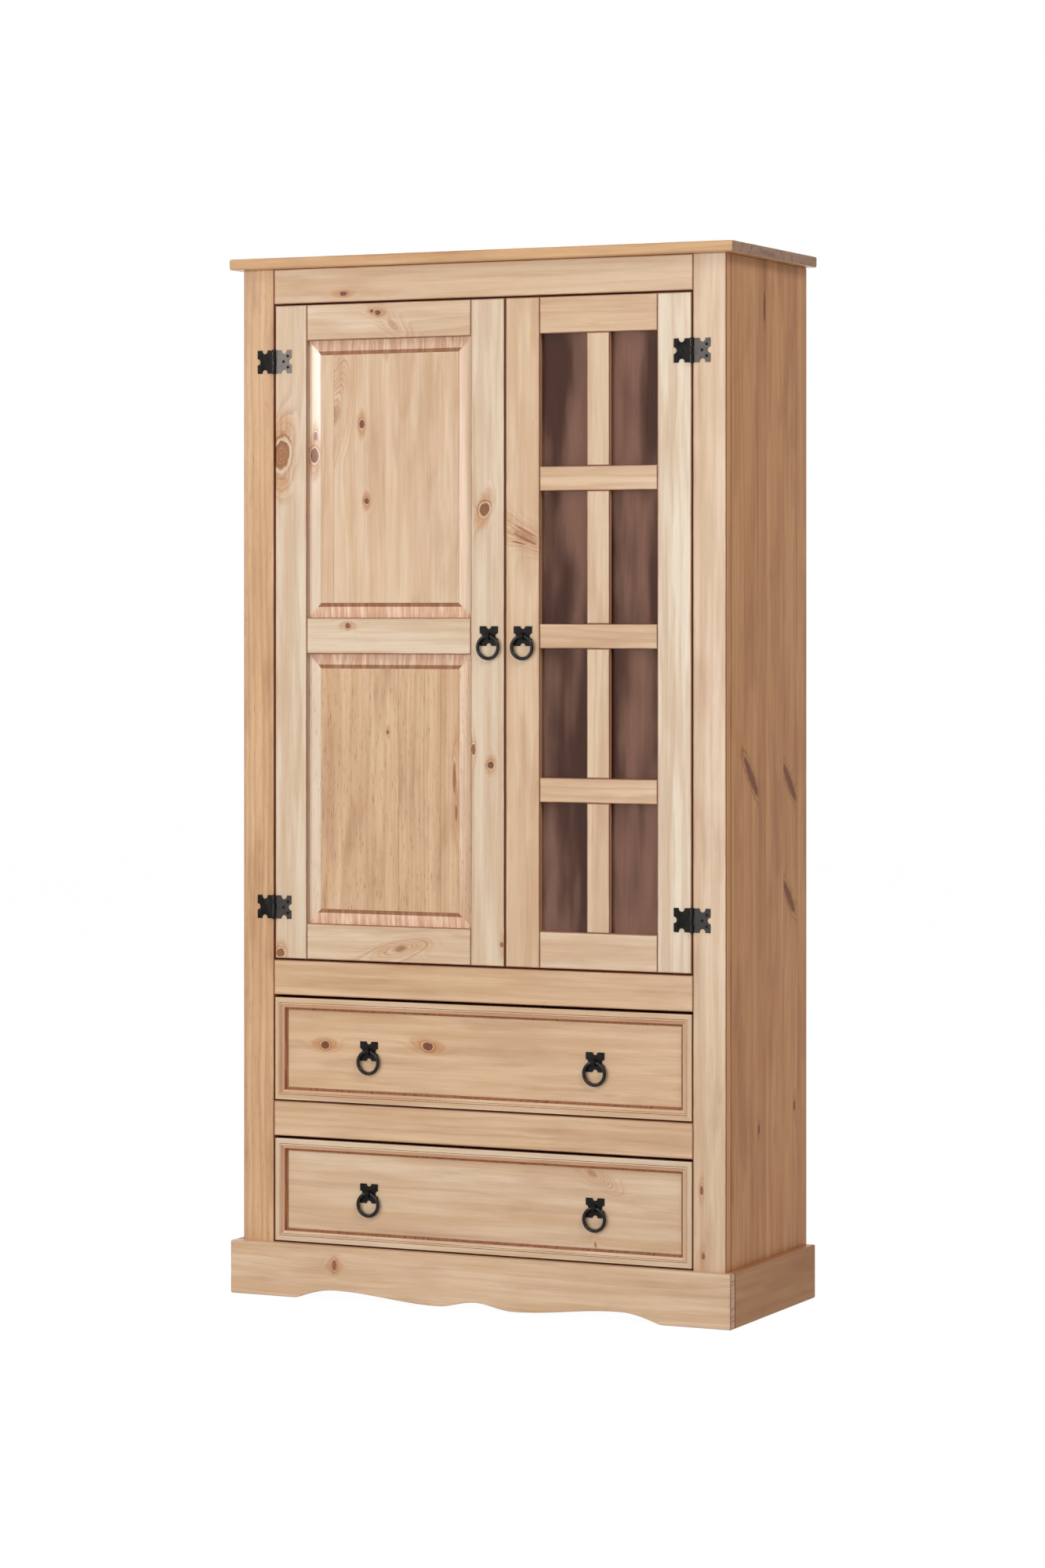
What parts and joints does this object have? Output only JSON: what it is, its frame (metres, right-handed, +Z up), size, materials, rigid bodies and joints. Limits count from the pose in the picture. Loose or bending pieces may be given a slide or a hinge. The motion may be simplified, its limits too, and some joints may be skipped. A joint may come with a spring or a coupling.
{
  "type": "display cabinet",
  "caption": "Tall solid pine display cabinet with a panelled door, a glazed door, drawers below on a shaped plinth, iron butterfly hinges and ring pulls.",
  "frame": {"origin": "centre of the base on the floor", "axes": "+X to the right as seen from the front, -Y to the front, +Z up"},
  "size_m": [0.906, 0.366, 1.72],
  "materials": {
    "waxed_pine": "satin wax, visible grain and knots",
    "inside_pine": "plain planed pine",
    "black_iron": "black, slightly shiny, uneven",
    "tinted_glass": "smooth, brown tint"
  },
  "bodies": {
    "cabinet": {"top_board": "waxed_pine", "side_panel_left": "waxed_pine", "side_panel_right": "waxed_pine", "face_post_left": "waxed_pine", "face_post_right": "waxed_pine", "top_rail": "waxed_pine", "middle_rail": "waxed_pine", "drawer_rail": "waxed_pine", "bottom_rail": "waxed_pine", "plinth_front": "waxed_pine", "plinth_returns": "waxed_pine", "bottom_deck": "inside_pine", "cupboard_floor": "inside_pine", "shelf_upper": "inside_pine", "shelf_middle": "inside_pine", "shelf_lower": "inside_pine", "shelf_battens": "inside_pine", "back_panel": "inside_pine", "drawer_runners": "inside_pine", "door_catches": "black_iron", "frame_hinge_leaves": "black_iron", "hinge_pins": "black_iron", "frame_hinge_screws": "black_iron"},
    "left_door": {"left_door_hinge_stile": "waxed_pine", "left_door_meeting_stile": "waxed_pine", "left_door_top_rail": "waxed_pine", "left_door_lock_rail": "waxed_pine", "left_door_bottom_rail": "waxed_pine", "left_door_upper_panel": "waxed_pine", "left_door_lower_panel": "waxed_pine", "left_door_hinge_leaves": "black_iron", "left_door_hinge_screws": "black_iron", "left_door_pull_plate": "black_iron"},
    "right_door": {"right_door_hinge_stile": "waxed_pine", "right_door_meeting_stile": "waxed_pine", "right_door_top_rail": "waxed_pine", "right_door_bottom_rail": "waxed_pine", "right_door_cross_rails": "waxed_pine", "right_door_upright_bars": "waxed_pine", "right_door_glass": "tinted_glass", "right_door_glazing_beads": "waxed_pine", "right_door_hinge_leaves": "black_iron", "right_door_hinge_screws": "black_iron", "right_door_pull_plate": "black_iron"},
    "upper_drawer": {"upper_drawer_front": "waxed_pine", "upper_drawer_moulding": "waxed_pine", "upper_drawer_box": "inside_pine", "upper_drawer_bottom": "inside_pine", "upper_drawer_pull_plates": "black_iron"},
    "lower_drawer": {"lower_drawer_front": "waxed_pine", "lower_drawer_moulding": "waxed_pine", "lower_drawer_box": "inside_pine", "lower_drawer_bottom": "inside_pine", "lower_drawer_pull_plates": "black_iron"},
    "left_door_ring": {"left_door_ring": "black_iron"},
    "right_door_ring": {"right_door_ring": "black_iron"},
    "upper_drawer_ring_left": {"upper_drawer_ring_left": "black_iron"},
    "upper_drawer_ring_right": {"upper_drawer_ring_right": "black_iron"},
    "lower_drawer_ring_left": {"lower_drawer_ring_left": "black_iron"},
    "lower_drawer_ring_right": {"lower_drawer_ring_right": "black_iron"}
  },
  "joints": [
    {"name": "left_door_swing", "type": "hinge", "parent": "cabinet", "child": "left_door", "pos_m": [-0.37625, -0.1684, 1.1], "axis": [0, 0, -1], "range_deg": [0, 170]},
    {"name": "right_door_swing", "type": "hinge", "parent": "cabinet", "child": "right_door", "pos_m": [0.37625, -0.1684, 1.1], "axis": [0, 0, 1], "range_deg": [0, 170]},
    {"name": "upper_drawer_slide", "type": "slide", "parent": "cabinet", "child": "upper_drawer", "axis": [0, -1, 0], "range_m": [0, 0.24]},
    {"name": "lower_drawer_slide", "type": "slide", "parent": "cabinet", "child": "lower_drawer", "axis": [0, -1, 0], "range_m": [0, 0.24]},
    {"name": "left_door_ring_swing", "type": "hinge", "parent": "left_door", "child": "left_door_ring", "pos_m": [0.0185, -0.17, 1.094], "axis": [-1, 0, 0], "range_deg": [0, 165]},
    {"name": "right_door_ring_swing", "type": "hinge", "parent": "right_door", "child": "right_door_ring", "pos_m": [0.0795, -0.17, 1.094], "axis": [-1, 0, 0], "range_deg": [0, 165]},
    {"name": "upper_drawer_ring_left_swing", "type": "hinge", "parent": "upper_drawer", "child": "upper_drawer_ring_left", "pos_m": [-0.204, -0.162, 0.41], "axis": [-1, 0, 0], "range_deg": [0, 165]},
    {"name": "upper_drawer_ring_right_swing", "type": "hinge", "parent": "upper_drawer", "child": "upper_drawer_ring_right", "pos_m": [0.204, -0.162, 0.41], "axis": [-1, 0, 0], "range_deg": [0, 165]},
    {"name": "lower_drawer_ring_left_swing", "type": "hinge", "parent": "lower_drawer", "child": "lower_drawer_ring_left", "pos_m": [-0.204, -0.162, 0.176], "axis": [-1, 0, 0], "range_deg": [0, 165]},
    {"name": "lower_drawer_ring_right_swing", "type": "hinge", "parent": "lower_drawer", "child": "lower_drawer_ring_right", "pos_m": [0.204, -0.162, 0.176], "axis": [-1, 0, 0], "range_deg": [0, 165]}
  ]
}
